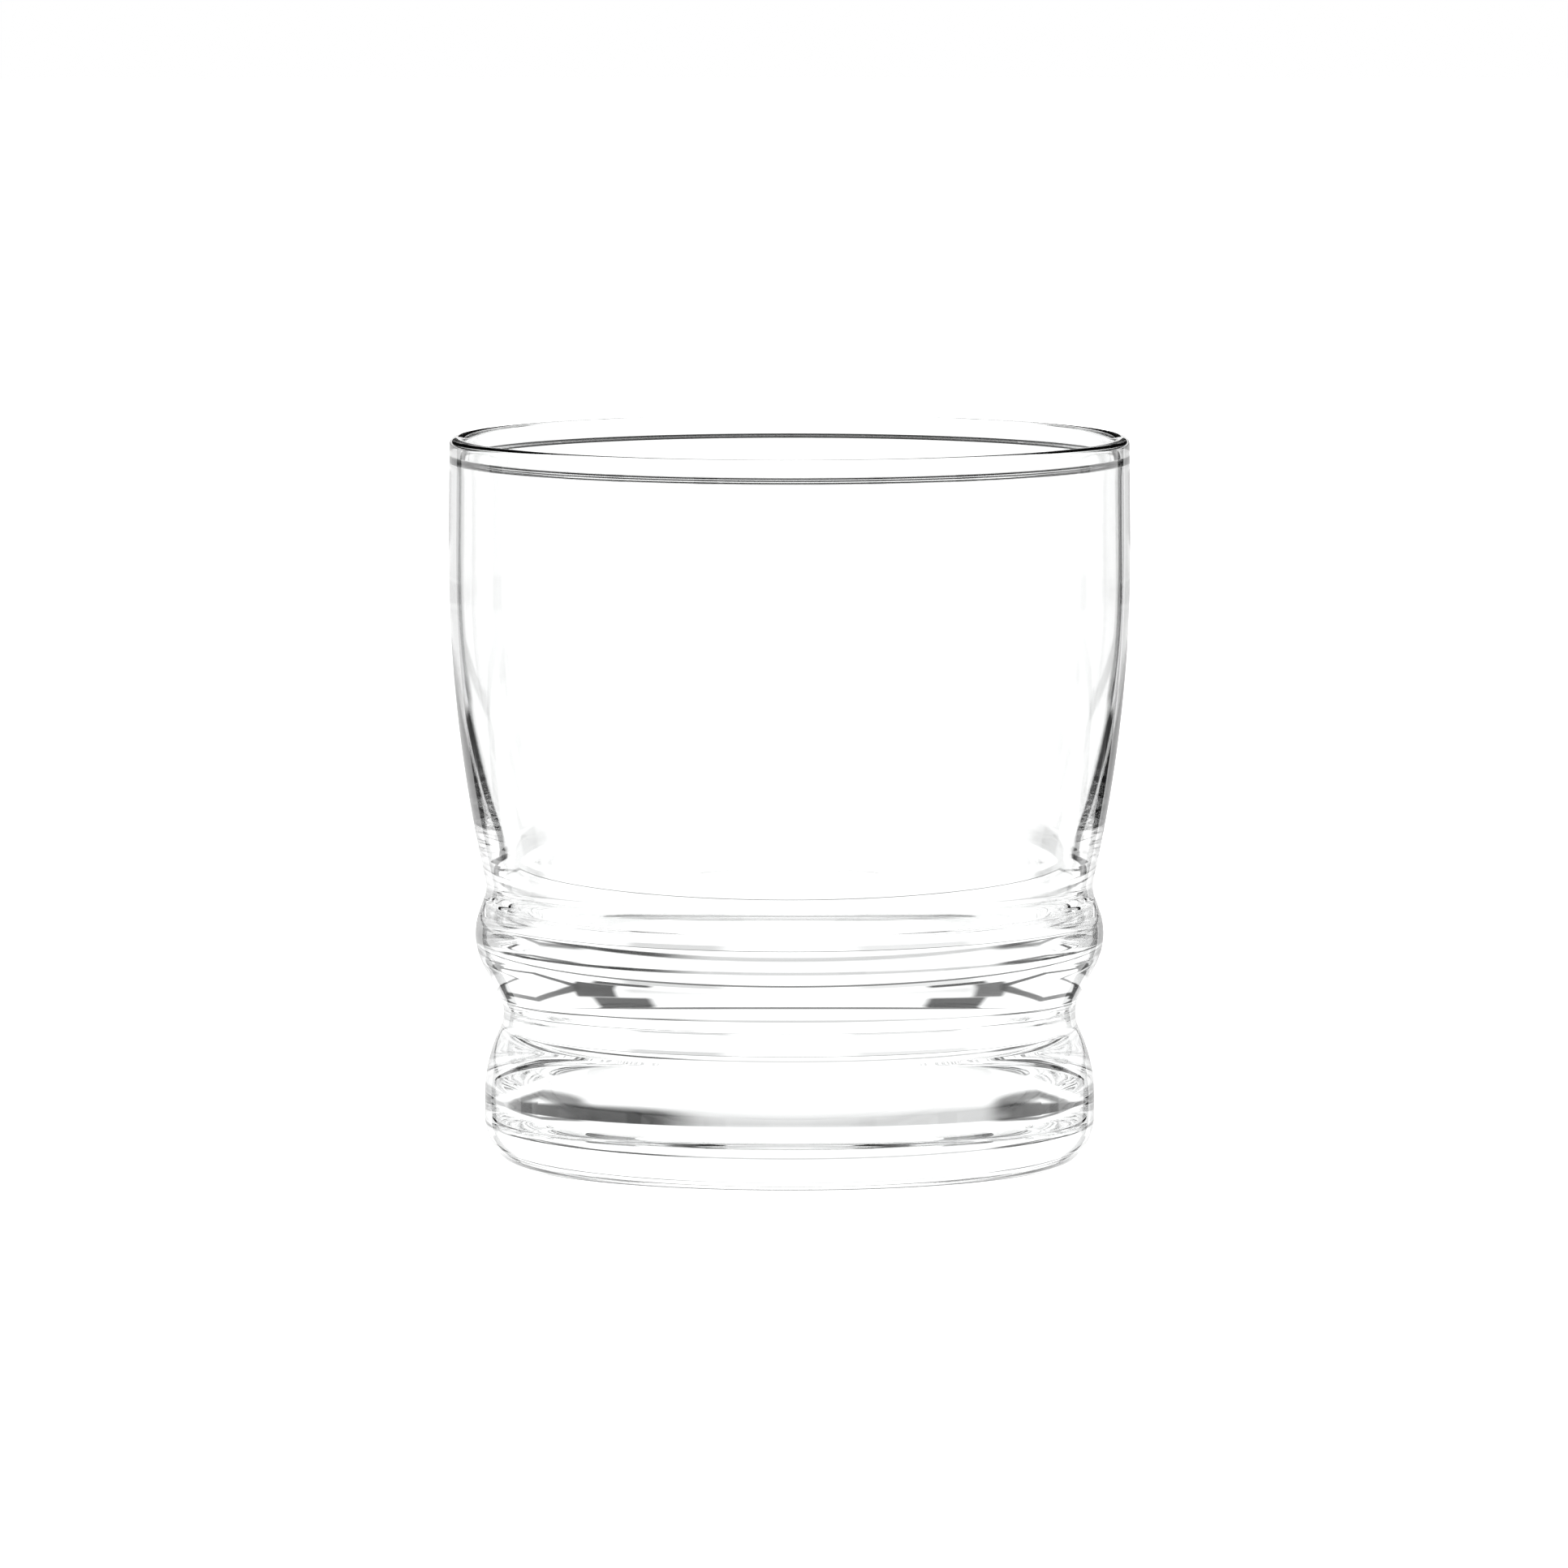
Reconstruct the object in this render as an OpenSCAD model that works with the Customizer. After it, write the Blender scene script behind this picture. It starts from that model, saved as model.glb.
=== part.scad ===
// Whiskey tumbler: one piece of clear glass, round about the Z axis.
// The origin is the centre of the foot, on the surface that the glass stands on.

/* [Glass] */
// Overall height, foot to lip
height = 93; // [91:0.5:110]
// Outside diameter of the bowl at its widest
bowl_d = 86.8; // [86.5:0.1:87]
// Wall thickness high in the bowl
wall = 1.5; // [1.3:0.1:1.7]

/* [Lip] */
// Outside diameter at the lip
lip_d = 86.2; // [85.9:0.1:86.6]
// Thickness of the lip bead
lip_t = 2; // [1.7:0.1:2.2]
// Height of the lip bead
lip_h = 2.5; // [2.2:0.1:3.2]

/* [Bowl] */
// Height at which the outside turns in towards the neck
bowl_turn_z = 59; // [58.6:0.1:61]
// Radius of the outside where it turns in
bowl_turn_r = 187; // [120:1:187]
// Height at which the inside turns in
well_turn_z = 58.1; // [57.8:0.1:60]
// Radius of the inside where it turns in
well_turn_r = 105; // [80:1:105]

/* [Well] */
// Height of the glass floor inside
floor_z = 32.3; // [24:0.1:33]
// Inside diameter just above the floor
well_d = 72.2; // [72:0.1:73]
// Height at which the straight inside above the floor ends
well_z = 39.1; // [38.6:0.1:39.2]
// Radius in the corner between the floor and the inside
well_corner_r = 1; // [0.5:0.1:3]

/* [Ring] */
// Outside diameter at the corner of the neck, above the ring
neck_d = 76.76; // [76:0.04:78]
// Height of the neck
neck_z = 35.67; // [35:0.01:36.5]
// Radius in the neck
neck_r = 4; // [2:0.1:5]
// Outside diameter of the ring, at the corner of its outline
ring_d = 81.36; // [80:0.04:82]
// Height of the ring
ring_z = 29.35; // [29:0.05:29.8]
// Radius over the ring
ring_r = 8.5; // [6:0.1:8.6]

/* [Foot] */
// Outside diameter at the corner of the waist, under the ring
waist_d = 71.62; // [71:0.02:73]
// Height of the waist
waist_z = 20.2; // [19.8:0.1:20.6]
// Radius in the waist
waist_r = 5.2; // [3:0.1:5.4]
// Outside diameter of the foot
foot_d = 77.5; // [76:0.1:78.5]
// Height at which the foot turns in towards the waist
foot_z = 13.3; // [12.8:0.1:13.6]
// Radius of the foot's shoulder
shoulder_r = 19; // [10:0.5:19.5]
// Radius of the heel, where the foot meets the surface
heel_r = 6.8; // [4:0.1:7]
// Diameter of the hollow under the foot
punt_d = 54; // [40:1:60]
// Depth of the hollow under the foot
punt_h = 1; // [0.4:0.1:2]

/* [Hidden] */
$fn = 180;
// furthest that a flat may stand off the arc it stands for
flat_gap = 0.008;
// the lip's two edges, as a share of its thickness
lip_edge = 0.46;
// the bead's soft run down into the wall
bead_run = 0.35;
bead_r = 0.5;
// curve where the straight inside above the floor opens into the bowl
well_ease_r = 15;

lip_r = lip_d / 2;
bead_in = lip_r - lip_t;
bowl_in = bowl_d / 2 - wall;
punt_edge = punt_d / 2;

// Corners of the half section, each with the radius that rounds it: up the inside,
// over the lip, down the outside and across the foot.
section = [
    [0, floor_z, 0],
    [well_d / 2, floor_z, well_corner_r],
    [well_d / 2, well_z, well_ease_r],
    [bowl_in, well_turn_z, well_turn_r],
    [bowl_in, height - lip_h - bead_run, bead_r],
    [bead_in, height - lip_h, bead_r],
    [bead_in, height, lip_t * lip_edge],
    [lip_r, height, lip_t * lip_edge],
    [bowl_d / 2, bowl_turn_z, bowl_turn_r],
    [neck_d / 2, neck_z, neck_r],
    [ring_d / 2, ring_z, ring_r],
    [waist_d / 2, waist_z, waist_r],
    [foot_d / 2, foot_z, shoulder_r],
    [foot_d / 2, 0, heel_r],
    [punt_edge, 0, 0],
];

function unit(v) = v / norm(v);
function flat(p) = [p[0], p[1]];

// The arc of radius r that touches both sides of the corner at p, between points a and b
function corner_arc(a, p, b, r) =
    let (
        u = unit(a - p),
        v = unit(b - p),
        half = acos(u * v) / 2,
        centre = p + unit(u + v) * r / sin(half),
        from = p + u * r / tan(half) - centre,
        turn = 180 - 2 * half,
        side = sign(cross(p - a, b - p)),
        steps = max(3, ceil(turn / (2 * acos(1 - flat_gap / r))))
    )
    [for (i = [0 : steps])
        let (t = side * turn * i / steps)
        centre + [from[0] * cos(t) - from[1] * sin(t), from[0] * sin(t) + from[1] * cos(t)]];

// The outline with each corner that has a radius turned into its arc
function rounded(c) = [
    for (i = [0 : len(c) - 1])
        each c[i][2] == 0 ? [flat(c[i])] : corner_arc(flat(c[i - 1]), flat(c[i]), flat(c[i + 1]), c[i][2])
];

// Half section of the hollow under the foot: part of a large ball
function punt(n = 12) =
    let (r = (punt_edge ^ 2 + punt_h ^ 2) / (2 * punt_h))
    [for (i = [1 : n])
        let (x = punt_edge * (1 - i / n))
        [x, sqrt(r ^ 2 - x ^ 2) - r + punt_h]];

module tumbler() {
    color([0.93, 0.96, 0.97, 0.35])
        rotate_extrude()
            polygon(concat(rounded(section), punt()));
}

tumbler();
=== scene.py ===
import math
import bpy
import numpy as np
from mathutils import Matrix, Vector


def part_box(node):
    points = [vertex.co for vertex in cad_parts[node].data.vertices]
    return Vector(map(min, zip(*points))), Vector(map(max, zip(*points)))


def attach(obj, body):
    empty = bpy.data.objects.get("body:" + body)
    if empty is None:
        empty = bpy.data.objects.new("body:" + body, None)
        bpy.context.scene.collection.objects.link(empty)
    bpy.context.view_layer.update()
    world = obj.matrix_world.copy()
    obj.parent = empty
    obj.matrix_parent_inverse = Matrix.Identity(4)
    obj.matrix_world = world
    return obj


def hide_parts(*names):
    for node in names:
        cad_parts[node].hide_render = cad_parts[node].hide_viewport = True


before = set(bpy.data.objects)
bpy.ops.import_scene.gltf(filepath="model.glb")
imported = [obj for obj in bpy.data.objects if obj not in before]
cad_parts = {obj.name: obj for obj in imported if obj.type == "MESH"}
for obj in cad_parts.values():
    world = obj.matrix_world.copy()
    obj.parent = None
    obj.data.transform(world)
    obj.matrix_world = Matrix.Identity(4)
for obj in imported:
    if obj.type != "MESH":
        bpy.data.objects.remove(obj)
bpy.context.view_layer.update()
glassLow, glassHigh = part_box("tumbler")


class Wire:  # one socket of a node tree; the operators on it add Math nodes
    def __init__(self, graph, socket):
        self.graph = graph
        self.socket = socket

    def math(self, operation, *values):
        return self.graph.add("ShaderNodeMath", {"operation": operation}, dict(enumerate(values)))

    def __add__(self, other):
        return self.math("ADD", self, other)

    def __radd__(self, other):
        return self.math("ADD", other, self)

    def __sub__(self, other):
        return self.math("SUBTRACT", self, other)

    def __rsub__(self, other):
        return self.math("SUBTRACT", other, self)

    def __mul__(self, other):
        return self.math("MULTIPLY", self, other)

    def __rmul__(self, other):
        return self.math("MULTIPLY", other, self)

    def __abs__(self):
        return self.math("ABSOLUTE", self)

    def ease(self, low, high):  # 0 below low, 1 above high, an S curve between; falls when low > high
        shape = {"interpolation_type": "SMOOTHSTEP"}
        if low < high:
            return self.graph.add("ShaderNodeMapRange", shape, {0: self, 1: low, 2: high, 3: 0.0, 4: 1.0})
        return self.graph.add("ShaderNodeMapRange", shape, {0: self, 1: high, 2: low, 3: 1.0, 4: 0.0})


class Graph:  # a node tree being filled
    def __init__(self, tree):
        self.tree = tree
        tree.nodes.clear()

    # adds any node: its settings first, then its sockets, each a value or a Wire
    def add(self, kind, settings=None, sockets=None, out=0):
        node = self.tree.nodes.new(kind)
        for name, value in (settings or {}).items():
            setattr(node, name, value)
        for name, value in (sockets or {}).items():
            if isinstance(value, Wire):
                self.tree.links.new(value.socket, node.inputs[name])
            else:
                node.inputs[name].default_value = value
        return Wire(self, node.outputs[out]) if node.outputs else None


# sizes in millimetres on a glass 93 high, fitted to the frame's box further down
tumbler = {
    "height": 93.0,
    "floorZ": 32.3,          # glass floor inside
    "wellR": 36.1,           # inside, just above the floor
    "wellZ": 39.1,
    "wellCornerR": 1.0,
    "wellEaseR": 15.0,
    "bowlInR": 41.9,         # inside, high in the bowl
    "bowlInZ": 58.1,
    "bowlInTurnR": 105.0,
    "lipR": 43.1,
    "lipThick": 2.0,
    "lipRounding": 0.46,     # share of the lip's thickness
    "lipHigh": 2.5,
    "lipRun": 0.35,          # the bead's run down into the wall
    "beadR": 0.5,
    "bowlR": 43.4,           # outline corners of the outside, each with its rounding
    "bowlZ": 59.0,
    "bowlTurnR": 187.0,
    "neck": (38.38, 35.67, 4.0),
    "ring": (40.68, 29.35, 8.5),
    "waist": (35.81, 20.2, 5.2),
    "shoulder": (38.75, 13.3, 19.0),
    "heel": (38.75, 0.0, 6.8),
    "puntR": 27.0,           # hollow under the foot
    "puntHigh": 1.0,
    "step": 1.15,            # longest step between rings
    "arcStep": 0.32,         # and along a rounded corner
    "widestTurn": 0.12,      # most and least turn between two points of a corner, in radians
    "leastTurn": 0.012,
    "fewest": 6,             # steps of any corner
    "puntSteps": 24,
    "around": 260,
    "sameSpot": 0.0001,      # points nearer than this count as one
}


# corners of the half outline as (radius, height, rounding): up the inside, over the lip,
# down the outside, across the foot
def glassCorners(t):
    innerLip = t["lipR"] - t["lipThick"]
    lipEdge = t["lipThick"] * t["lipRounding"]
    beadZ = t["height"] - t["lipHigh"]
    return [
        (0.0, t["floorZ"], 0.0),
        (t["wellR"], t["floorZ"], t["wellCornerR"]),
        (t["wellR"], t["wellZ"], t["wellEaseR"]),
        (t["bowlInR"], t["bowlInZ"], t["bowlInTurnR"]),
        (t["bowlInR"], beadZ - t["lipRun"], t["beadR"]),
        (innerLip, beadZ, t["beadR"]),
        (innerLip, t["height"], lipEdge),
        (t["lipR"], t["height"], lipEdge),
        (t["bowlR"], t["bowlZ"], t["bowlTurnR"]),
        t["neck"],
        t["ring"],
        t["waist"],
        t["shoulder"],
        t["heel"],
        (t["puntR"], 0.0, 0.0),
    ]


# arc that touches both sides of a corner: centre + rounding * (cos, sin) over the turn between them
def cornerArc(before, corner, after, rounding, t):
    toBefore = (before - corner) / np.linalg.norm(before - corner)
    toAfter = (after - corner) / np.linalg.norm(after - corner)
    half = math.acos(float(toBefore @ toAfter)) / 2
    middle = (toBefore + toAfter) / np.linalg.norm(toBefore + toAfter)
    centre = corner + middle * rounding / math.sin(half)
    start = corner + toBefore * rounding / math.tan(half) - centre
    end = corner + toAfter * rounding / math.tan(half) - centre
    startTurn = math.atan2(start[1], start[0])
    turn = (math.atan2(end[1], end[0]) - startTurn + math.pi) % (2 * math.pi) - math.pi
    steps = max(math.ceil(abs(turn) * rounding / t["arcStep"]), math.ceil(abs(turn) / t["widestTurn"]))
    steps = max(t["fewest"], min(steps, math.ceil(abs(turn) / t["leastTurn"])))
    angle = startTurn + np.linspace(0, turn, steps + 1)
    return centre + rounding * np.column_stack([np.cos(angle), np.sin(angle)])


# the outline with every corner turned into its arc
def roundOutline(corners, t):
    flat = [np.array(corner[:2]) for corner in corners]
    parts = []
    for place, (x, z, rounding) in enumerate(corners):
        if rounding == 0:
            parts.append(flat[place][None])
        else:
            parts.append(cornerArc(flat[place - 1], flat[place], flat[place + 1], rounding, t))
    return np.vstack(parts)


# hollow under the foot, part of a large ball: z = sqrt(R^2 - r^2) - R + puntHigh
def puntOutline(t):
    ball = (t["puntR"] ** 2 + t["puntHigh"] ** 2) / (2 * t["puntHigh"])
    radius = t["puntR"] * (1 - np.arange(1, t["puntSteps"] + 1) / t["puntSteps"])
    return np.column_stack([radius, np.sqrt(ball ** 2 - radius ** 2) - ball + t["puntHigh"]])


# splits every step longer than the longest allowed into equal shorter ones
def evenSteps(outline, longest):
    gap = np.diff(outline, axis=0)
    count = np.maximum(1, np.ceil(np.hypot(gap[:, 0], gap[:, 1]) / longest)).astype(int)
    first = np.repeat(np.arange(len(gap)), count)
    share = (np.arange(count.sum()) - np.repeat(np.cumsum(count) - count, count)) / np.repeat(count, count)
    return np.vstack([outline[first] + gap[first] * share[:, None], outline[-1:]])


# surface of revolution: (r cos a, r sin a, z) for each outline point and each angle a,
# with one shared point at either end on the axis
def revolve(name, outline, around):
    ring = outline[1:-1]
    angle = np.arange(around) * 2 * math.pi / around
    x = ring[:, :1] * np.cos(angle)
    y = ring[:, :1] * np.sin(angle)
    z = np.repeat(ring[:, 1:], around, axis=1)
    grid = np.stack([x, y, z], axis=-1).reshape(-1, 3)
    points = np.vstack([grid, [[0, 0, outline[0, 1]], [0, 0, outline[-1, 1]]]])
    here = np.arange(around)
    there = (here + 1) % around
    row = np.arange(len(ring) - 1)[:, None] * around
    quads = np.stack([row + there, row + here, row + around + here, row + around + there], axis=-1)
    quads = quads.reshape(-1, 4)
    top = len(grid)
    last = (len(ring) - 1) * around
    startFan = np.column_stack([np.full(around, top), here, there])
    endFan = np.column_stack([np.full(around, top + 1), last + there, last + here])
    faces = [*quads.tolist(), *startFan.tolist(), *endFan.tolist()]
    mesh = bpy.data.meshes.new(name)
    mesh.from_pydata(points.tolist(), [], faces)
    mesh.shade_smooth()
    mesh.update()
    piece = bpy.data.objects.new(name, mesh)
    bpy.context.scene.collection.objects.link(piece)
    return piece


def makeTumbler(t):
    outline = np.vstack([roundOutline(glassCorners(t), t), puntOutline(t)])
    outline = evenSteps(outline, t["step"])
    outline = outline[np.r_[True, np.hypot(*np.diff(outline, axis=0).T) > t["sameSpot"]]]
    scaleZ = (glassHigh.z - glassLow.z) / t["height"]
    scaleR = min(glassHigh.x - glassLow.x, glassHigh.y - glassLow.y) / 2 / outline[:, 0].max()
    outline = outline * (scaleR, scaleZ) + (0, glassLow.z)
    print("tumbler outline:", len(outline), "rings of", t["around"])
    return revolve("tumblerGlass", outline, t["around"])


# clear glass: bright and colourless, a little uneven, and worn matt where it stands
clearGlass = {
    "tint": (0.985, 0.99, 0.988, 1),
    "thickTint": (0.975, 0.985, 0.982, 1),
    "thickBelow": 0.03,      # the tint deepens from thinAbove down to here, in metres
    "thinAbove": 0.034,
    "ior": 1.5,
    "polishSpread": 0.004,
    "polishScale": 38.0,
    "wearRough": 0.22,
    "wearHigh": 0.0004,      # worn up to this height
    "scuffScale": 1400.0,
    "scuff": (0.35, 0.6),    # noise from none to full wear
    "ripple": 9.0,
    "rippleDepth": 0.00002,
}


def makeClearGlass(g):
    material = bpy.data.materials.new("clearGlass")
    material.use_nodes = True
    graph = Graph(material.node_tree)
    place = graph.add("ShaderNodeTexCoord", out="Object")
    height = graph.add("ShaderNodeSeparateXYZ", None, {0: place}, "Z")
    cloud = graph.add("ShaderNodeTexNoise", {"noise_dimensions": "3D"},
                      {"Vector": place, "Scale": g["polishScale"], "Detail": 2.0}, "Fac")
    scuff = graph.add("ShaderNodeTexNoise", {"noise_dimensions": "3D"},
                      {"Vector": place, "Scale": g["scuffScale"], "Detail": 3.0}, "Fac")
    ripple = graph.add("ShaderNodeTexNoise", {"noise_dimensions": "3D"},
                       {"Vector": place, "Scale": g["ripple"], "Detail": 1.0}, "Fac")
    wear = height.ease(g["wearHigh"], 0.0) * scuff.ease(*g["scuff"])
    tint = graph.add("ShaderNodeMix", {"data_type": "RGBA"},
                     {0: height.ease(g["thinAbove"], g["thickBelow"]), 6: g["tint"], 7: g["thickTint"]}, 2)
    rough = cloud * g["polishSpread"] + wear * g["wearRough"]
    bump = graph.add("ShaderNodeBump", None,
                     {"Strength": 1.0, "Distance": g["rippleDepth"], "Height": ripple})
    glass = graph.add("ShaderNodeBsdfPrincipled", None,
                      {"Base Color": tint, "Roughness": rough, "Normal": bump,
                       "IOR": g["ior"], "Transmission Weight": 1.0})
    graph.add("ShaderNodeOutputMaterial", None, {"Surface": glass})
    return material


piece = makeTumbler(tumbler)
piece.data.materials.append(makeClearGlass(clearGlass))
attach(piece, "root")
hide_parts("tumbler")
print("tumbler:", len(piece.data.vertices), "points,", len(piece.data.polygons), "faces")


# The glass shows nothing but the light around it, so the light is laid out by direction:
# side is degrees round from the nearest square-on direction, rise is degrees above level.
# Each card darkens its own patch and fades over its soft edge; "both" puts it on both sides,
# "slant" tilts it by that much rise for each degree of side, and "bounced" keeps it to light that
# the glass mirrors, so that it draws edges and doesn't darken the view straight through the bowl.
studio = {
    "gain": 1.25,
    "quarter": 90.0,
    "cards": [
        # gap between the far edge of the table and the lit backdrop, wider towards the corners
        {"side": (-60, 60), "sideSoft": 1, "rise": (6.8, 9.0), "riseSoft": 1.3, "dark": 0.45},
        {"side": (14, 60), "sideSoft": 10, "rise": (6.6, 9.0), "riseSoft": 1.0, "dark": 0.94},
        {"side": (-60, -33), "sideSoft": 6, "rise": (6.4, 9.4), "riseSoft": 1.2, "dark": 0.93},
        {"both": True, "side": (31, 60), "sideSoft": 6, "rise": (7.0, 10.0), "riseSoft": 2,
         "slant": 0.25, "dark": 0.85},
        # thin dark edge of the table, level with the glass
        {"side": (-60, 60), "sideSoft": 1, "rise": (-0.6, 0.6), "riseSoft": 0.5, "dark": 0.85},
        # black flags that draw the edges of the wall
        {"side": (24, 32.3), "sideSoft": 1.5, "rise": (-11.8, 0.8), "riseSoft": 1.5, "dark": 0.97,
         "bounced": True},
        {"side": (-32.5, -26), "sideSoft": 2, "rise": (-11.8, 0.8), "riseSoft": 1.5, "dark": 0.9,
         "bounced": True},
        {"both": True, "side": (18.5, 29), "sideSoft": 2, "rise": (-24, -11.8), "riseSoft": 1.5,
         "dark": 0.95, "bounced": True},
        {"both": True, "side": (31, 60), "sideSoft": 2, "rise": (-8.5, -5.5), "riseSoft": 1.2,
         "slant": -0.46, "dark": 0.93, "bounced": True},
        # grey sheets between the flags and the middle
        {"side": (8, 22.5), "sideSoft": 4, "rise": (-10, 0.5), "riseSoft": 3, "dark": 0.42},
        {"side": (-26, -8), "sideSoft": 4, "rise": (-10, 0.5), "riseSoft": 3, "dark": 0.3},
    ],
}


# 1 for light that was mirrored on its way, 0 for light that only passed through
def hasBounced(graph):
    mirrored = graph.add("ShaderNodeLightPath", out="Glossy Depth")
    return mirrored.math("MINIMUM", mirrored, 1.0)


# share of a card's dark at (side, rise): one soft step up and one down each way
def cardMask(card, side, rise, bounced):
    halfSide = card["sideSoft"] / 2
    halfRise = card["riseSoft"] / 2
    if card.get("both"):
        side = abs(side)
    if "slant" in card:
        rise = rise - (side - card["side"][0]) * card["slant"]
    inSide = side.ease(card["side"][0] - halfSide, card["side"][0] + halfSide)
    inSide = inSide * side.ease(card["side"][1] + halfSide, card["side"][1] - halfSide)
    inRise = rise.ease(card["rise"][0] - halfRise, card["rise"][0] + halfRise)
    inRise = inRise * rise.ease(card["rise"][1] + halfRise, card["rise"][1] - halfRise)
    mask = inSide * inRise * card["dark"]
    return mask * bounced if card.get("bounced") else mask


def makeStudioLight(s):
    world = bpy.data.worlds.new("studioLight")
    world.use_nodes = True
    bpy.context.scene.world = world
    graph = Graph(world.node_tree)
    direction = graph.add("ShaderNodeTexCoord", out="Generated")
    x, y, z = (graph.add("ShaderNodeSeparateXYZ", None, {0: direction}, axis) for axis in "XYZ")
    degrees = 180 / math.pi
    around = x.math("ARCTAN2", x, y) * degrees
    side = around.math("WRAP", around, s["quarter"] / 2, -s["quarter"] / 2)
    rise = z.math("ARCSINE", z) * degrees
    bounced = hasBounced(graph)
    light = 1 - cardMask(s["cards"][0], side, rise, bounced)
    for card in s["cards"][1:]:
        light = light * (1 - cardMask(card, side, rise, bounced))
    seen = graph.add("ShaderNodeLightPath", out="Is Camera Ray")
    strength = light * s["gain"] * (1 - seen) + seen
    sky = graph.add("ShaderNodeBackground", None, {"Color": (1, 1, 1, 1), "Strength": strength})
    graph.add("ShaderNodeOutputWorld", None, {"Surface": sky})


# hood of black cloth hung close round and above the lip, which draws the lines of the lip
hood = {"radius": 0.12, "low": 0.101, "high": 0.20, "around": 90, "cloth": (0.01, 0.01, 0.01, 1)}


# upright band: (r cos a, r sin a) at its low and its high edge
def makeHood(h):
    angle = np.arange(h["around"]) * 2 * math.pi / h["around"]
    circle = h["radius"] * np.column_stack([np.cos(angle), np.sin(angle)])
    lowEdge = np.column_stack([circle, np.full(len(angle), h["low"])])
    highEdge = np.column_stack([circle, np.full(len(angle), h["high"])])
    here = np.arange(len(angle))
    there = (here + 1) % len(angle)
    faces = np.column_stack([here, there, there + len(angle), here + len(angle)])
    mesh = bpy.data.meshes.new("hood")
    mesh.from_pydata(np.vstack([lowEdge, highEdge]).tolist(), [], faces.tolist())
    material = bpy.data.materials.new("blackCloth")
    material.use_nodes = True
    graph = Graph(material.node_tree)
    cloth = graph.add("ShaderNodeEmission", None, {"Color": h["cloth"], "Strength": 1.0})
    graph.add("ShaderNodeOutputMaterial", None, {"Surface": cloth})
    mesh.materials.append(material)
    band = bpy.data.objects.new("hood", mesh)
    bpy.context.scene.collection.objects.link(band)
    band.visible_camera = False
    band.visible_diffuse = False
    band.visible_shadow = False


# pale table top, lit evenly and left out of what the glass bends
table = {"size": 6.0, "pale": (0.97, 0.97, 0.97, 1), "rough": 0.9, "glow": 1.0}


def makeTable(t):
    half = t["size"] / 2
    corners = [(-half, -half, glassLow.z), (half, -half, glassLow.z),
               (half, half, glassLow.z), (-half, half, glassLow.z)]
    mesh = bpy.data.meshes.new("table")
    mesh.from_pydata(corners, [], [(0, 1, 2, 3)])
    top = bpy.data.objects.new("table", mesh)
    bpy.context.scene.collection.objects.link(top)
    top.visible_transmission = False
    top.visible_glossy = False
    material = bpy.data.materials.new("paleTable")
    material.use_nodes = True
    graph = Graph(material.node_tree)
    surface = graph.add("ShaderNodeBsdfPrincipled", None,
                        {"Base Color": t["pale"], "Roughness": t["rough"], "Specular IOR Level": 0.0,
                         "Emission Color": (1, 1, 1, 1), "Emission Strength": t["glow"]})
    graph.add("ShaderNodeOutputMaterial", None, {"Surface": surface})
    mesh.materials.append(material)


# long lens, a little above the lip, so that the far lip shows over the near one
lookFrom = {
    "far": 2.035,
    "high": 0.232,
    "aimHigh": 0.0489,
    "side": -0.0007,
    "frameWide": 0.19877,    # width of what the picture takes in, at the glass
    "sensor": 36.0,
    "farthest": 50.0,
}


def makeCamera(c):
    lens = bpy.data.cameras.new("camera")
    camera = bpy.data.objects.new("camera", lens)
    bpy.context.scene.collection.objects.link(camera)
    camera.location = (c["side"], -c["far"], c["high"])
    ahead = Vector((c["side"], 0, c["aimHigh"])) - camera.location
    camera.rotation_euler = ahead.to_track_quat("-Z", "Y").to_euler()
    lens.sensor_width = c["sensor"]
    lens.lens = lens.sensor_width * ahead.length / c["frameWide"]
    lens.clip_end = c["farthest"]
    bpy.context.scene.camera = camera


makeStudioLight(studio)
makeHood(hood)
makeTable(table)
makeCamera(lookFrom)
look = bpy.context.scene.view_settings
look.view_transform = "Standard"
look.look = "None"
paths = bpy.context.scene.cycles
mostBounces = 24  # light crosses many faces before it leaves a thick base
paths.max_bounces = mostBounces
paths.transmission_bounces = mostBounces
paths.glossy_bounces = mostBounces
print("studio: light, table and camera")
